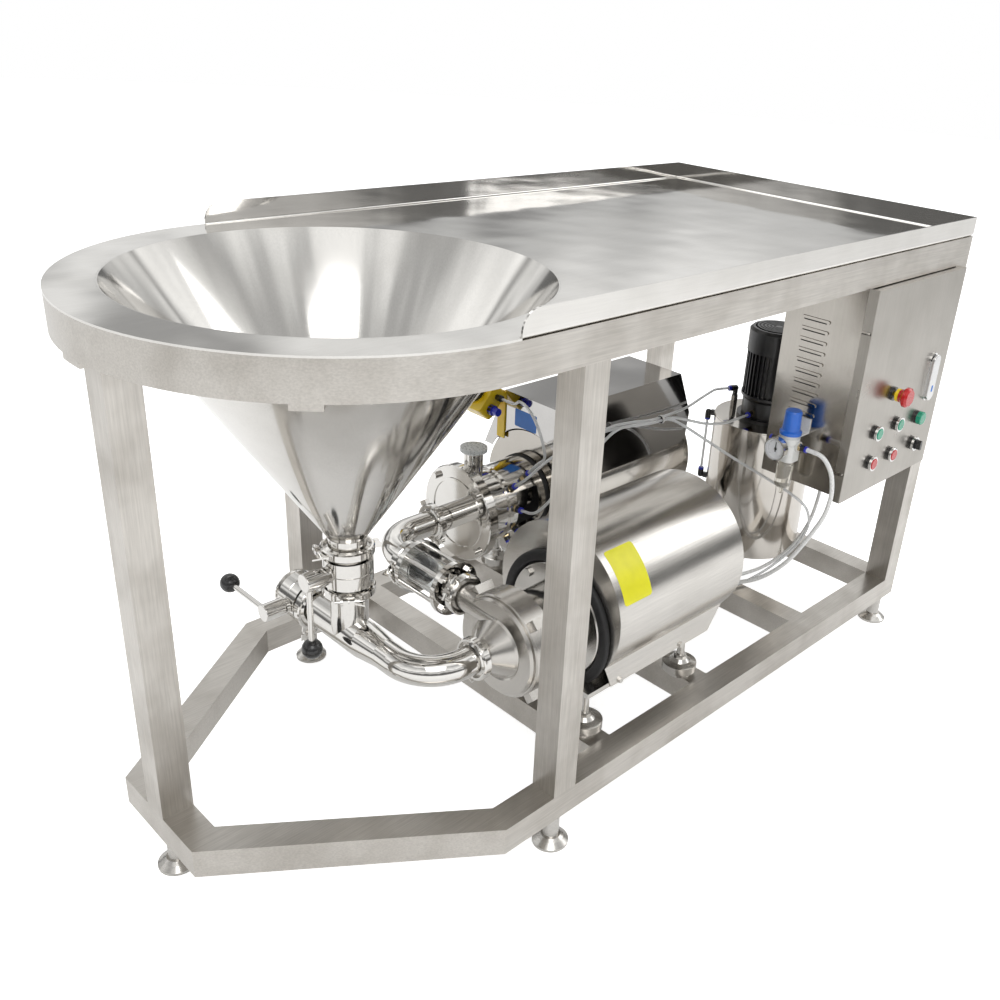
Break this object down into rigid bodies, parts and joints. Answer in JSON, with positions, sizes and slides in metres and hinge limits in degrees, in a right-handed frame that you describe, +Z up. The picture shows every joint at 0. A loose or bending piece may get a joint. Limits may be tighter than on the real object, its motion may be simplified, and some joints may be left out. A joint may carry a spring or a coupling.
{
  "type": "emulsifying mixer",
  "caption": "Stainless work table with a round powder hopper over a feed pump and inline mixing head, seal-water tank and control cabinet.",
  "frame": {"origin": "on the floor, under the middle of the machine's bounding box", "axes": "+X along the table from the round hopper end to the cabinet, -Y towards the operator, +Z up"},
  "size_m": [1.653, 0.8287, 0.9486],
  "materials": {
    "brushed": "brushed stainless steel",
    "satin": "fine satin stainless steel",
    "turned": "turned stainless steel",
    "polished": "polished stainless steel",
    "chrome": "bright chrome",
    "satin_chrome": "satin chrome",
    "black_paint": "black enamel",
    "yellow_paint": "yellow enamel",
    "rubber": "matte",
    "black": "gloss",
    "grey_plastic": "matte",
    "green": "gloss",
    "red": "gloss",
    "yellow": "gloss",
    "blue": "gloss",
    "white": "gloss",
    "milky": "smooth",
    "glass": "clear",
    "clear_plastic": "clear",
    "clear_tube": "clear"
  },
  "bodies": {
    "frame": {"table_tray": "brushed", "table_rim": "brushed", "legs": "brushed", "base_rails": "brushed", "levelling_feet": "turned", "hopper": "satin", "neck_clamp": "turned", "pipe_clamps": "turned", "powder_valve_body": "polished", "liquid_valve_body": "polished", "mixing_tee": "polished", "pump_casing": "polished", "pump_band": "polished", "pump_lantern": "polished", "front_motor": "turned", "rubber_rings": "rubber", "front_motor_cover": "polished", "motor_mounts": "turned", "sight_glass_frame": "polished", "sight_glass_tube": "glass", "outlet_elbow": "polished", "head_cover": "polished", "head_casing": "polished", "head_lantern": "polished", "rear_motor": "polished", "rear_motor_hood": "polished", "tank_body": "polished", "tank_motor": "black_paint", "cabinet_body": "brushed", "control_gear": "grey_plastic", "regulator_body": "white", "regulator_bowl": "clear_plastic", "gauge": "chrome", "switch_box": "yellow_paint", "tube_fittings": "black", "clear_tubes": "clear_tube", "white_hoses": "milky"},
    "powder_valve": {"powder_valve_lever": "polished", "powder_valve_knob": "black"},
    "liquid_valve": {"liquid_valve_lever": "polished", "liquid_valve_knob": "black"},
    "pump_shaft": {"pump_impeller": "turned"},
    "head_shaft": {"head_rotor": "turned"},
    "fan": {"tank_fan": "black"},
    "door": {"cabinet_door": "brushed", "door_collars": "black", "door_rings": "chrome", "lamp_lens": "green"},
    "handle_hub": {"handle_hub": "turned"},
    "handle_lever": {"handle_lever": "satin_chrome"},
    "green_left": {"green_button_left": "green"},
    "green_right": {"green_button_right": "green"},
    "red_left": {"red_button_left": "red"},
    "red_right": {"red_button_right": "red"},
    "selector": {"selector_knob": "black"},
    "stop_stem": {"stop_stem": "yellow"},
    "stop_head": {"stop_head": "red"},
    "regulator_knob": {"regulator_knob": "blue"},
    "gauge_needle": {"gauge_needle": "black"},
    "switch_dial": {"switch_dial": "black"}
  },
  "joints": [
    {"name": "powder_valve_turn", "type": "hinge", "parent": "frame", "child": "powder_valve", "pos_m": [-0.4408, 0.02265, 0.42525], "axis": [-1, 0, 0], "range_deg": [0, 90]},
    {"name": "liquid_valve_turn", "type": "hinge", "parent": "frame", "child": "liquid_valve", "pos_m": [-0.4408, 0.15865, 0.304], "axis": [1, 0, 0], "range_deg": [0, 90]},
    {"name": "pump_spin", "type": "hinge", "parent": "frame", "child": "pump_shaft", "pos_m": [-0.1908, -0.17735, 0.304], "axis": [1, 0, 0], "continuous": true},
    {"name": "head_spin", "type": "hinge", "parent": "frame", "child": "head_shaft", "pos_m": [0.0592, 0.17665, 0.35], "axis": [1, 0, 0], "continuous": true},
    {"name": "fan_spin", "type": "hinge", "parent": "frame", "child": "fan", "pos_m": [0.6992, -0.02135, 0.625], "axis": [0, 0, 1], "continuous": true},
    {"name": "door_swing", "type": "hinge", "parent": "frame", "child": "door", "pos_m": [0.4422, -0.36935, 0.64], "axis": [0, 0, -1], "range_deg": [0, 110]},
    {"name": "handle_turn", "type": "hinge", "parent": "door", "child": "handle_hub", "pos_m": [0.7282, -0.37735, 0.669], "axis": [0, 1, 0], "range_deg": [0, 90]},
    {"name": "handle_lift", "type": "hinge", "parent": "handle_hub", "child": "handle_lever", "pos_m": [0.7282, -0.38415, 0.669], "axis": [-1, 0, 0], "range_deg": [0, 15]},
    {"name": "green_left_press", "type": "slide", "parent": "door", "child": "green_left", "axis": [0, 1, 0], "range_m": [0, 0.0035], "stiffness_N_per_m": 400},
    {"name": "green_right_press", "type": "slide", "parent": "door", "child": "green_right", "axis": [0, 1, 0], "range_m": [0, 0.0035], "stiffness_N_per_m": 400},
    {"name": "red_left_press", "type": "slide", "parent": "door", "child": "red_left", "axis": [0, 1, 0], "range_m": [0, 0.0035], "stiffness_N_per_m": 400},
    {"name": "red_right_press", "type": "slide", "parent": "door", "child": "red_right", "axis": [0, 1, 0], "range_m": [0, 0.0035], "stiffness_N_per_m": 400},
    {"name": "selector_turn", "type": "hinge", "parent": "door", "child": "selector", "pos_m": [0.7112, -0.37735, 0.489], "axis": [0, 1, 0], "range_deg": [0, 90]},
    {"name": "stop_press", "type": "slide", "parent": "door", "child": "stop_stem", "axis": [0, 1, 0], "range_m": [0, 0.005]},
    {"name": "stop_twist", "type": "hinge", "parent": "stop_stem", "child": "stop_head", "pos_m": [0.5752, -0.37735, 0.629], "axis": [0, 1, 0], "range_deg": [0, 45], "stiffness_Nm_per_rad": 0.05},
    {"name": "regulator_turn", "type": "hinge", "parent": "frame", "child": "regulator_knob", "pos_m": [0.3972, -0.26735, 0.575], "axis": [0, 0, -1], "range_deg": [0, 720]},
    {"name": "needle_turn", "type": "hinge", "parent": "frame", "child": "gauge_needle", "pos_m": [0.3592, -0.26035, 0.525], "axis": [1, 0, 0], "range_deg": [0, 270]},
    {"name": "switch_turn", "type": "hinge", "parent": "frame", "child": "switch_dial", "pos_m": [0.0792, 0.28465, 0.53], "axis": [-0.7547, 0, 0.6561], "range_deg": [0, 90]}
  ],
  "couplings": [
    {"joint": "needle_turn", "follows": "regulator_turn", "ratio": 0.375}
  ]
}
